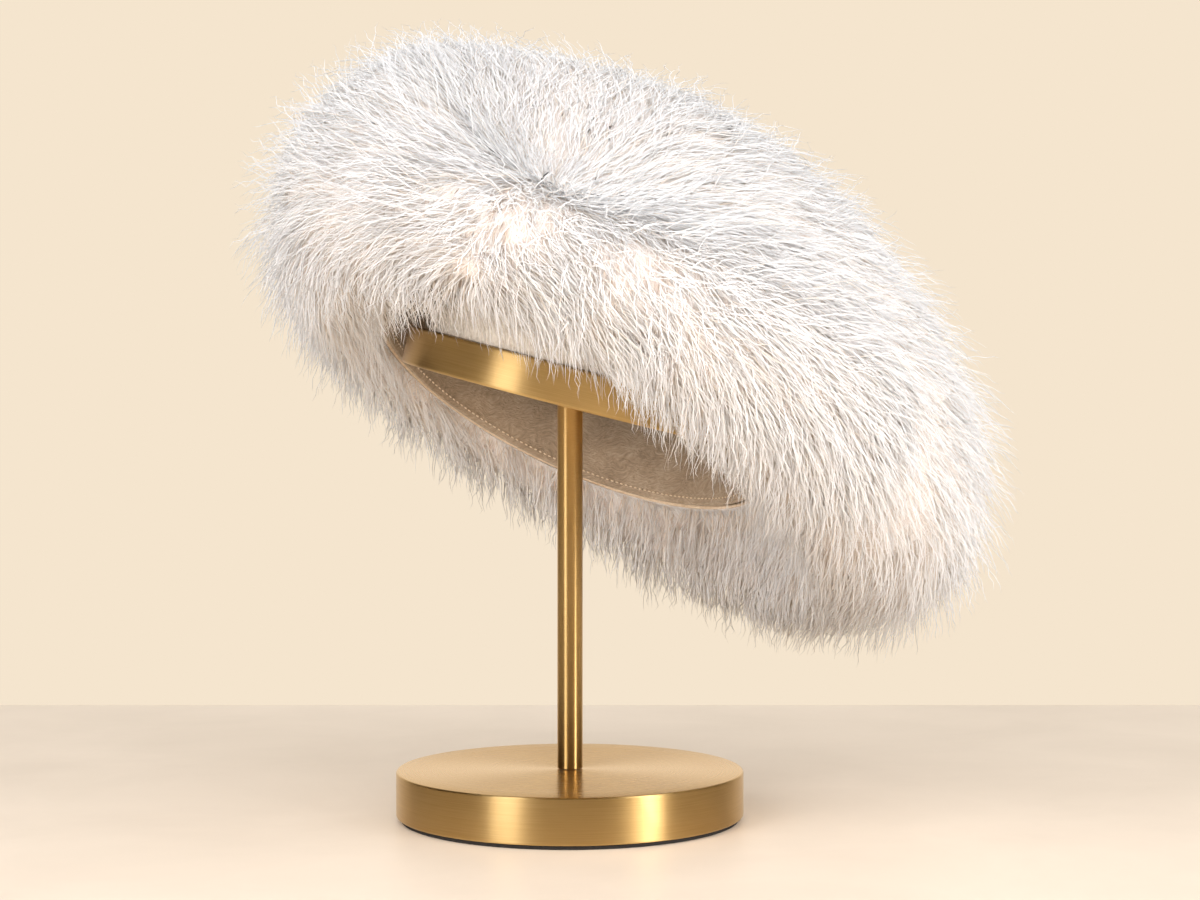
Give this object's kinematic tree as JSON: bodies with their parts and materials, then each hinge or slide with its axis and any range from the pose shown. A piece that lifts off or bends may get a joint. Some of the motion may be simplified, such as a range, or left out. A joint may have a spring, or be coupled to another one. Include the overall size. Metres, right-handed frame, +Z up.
{
  "type": "fur beret on a stand",
  "caption": "Round deep-fur beret with a leather sweatband, resting tilted on a brass table stand with a round base, a thin post and a tilted round head.",
  "frame": {"origin": "middle of the underside of the stand's foot pad, on the surface it rests on", "axes": "+Z up, -Y towards the viewer of the picture, +X to that viewer's right, where the beret hangs lowest"},
  "size_m": [0.3111, 0.2965, 0.3476],
  "materials": {
    "pad": "matt black",
    "brass": "brushed, satin",
    "form": "plain pale foam",
    "suede": "beige suede",
    "fur": "long warm white fur"
  },
  "bodies": {
    "root": {"base_pad": "pad", "base_disc": "brass", "post": "brass", "head_disc": "brass", "head_form": "form", "crown_top": "suede", "crown_under": "suede", "sweatband": "suede", "fur": "fur"}
  },
  "joints": []
}
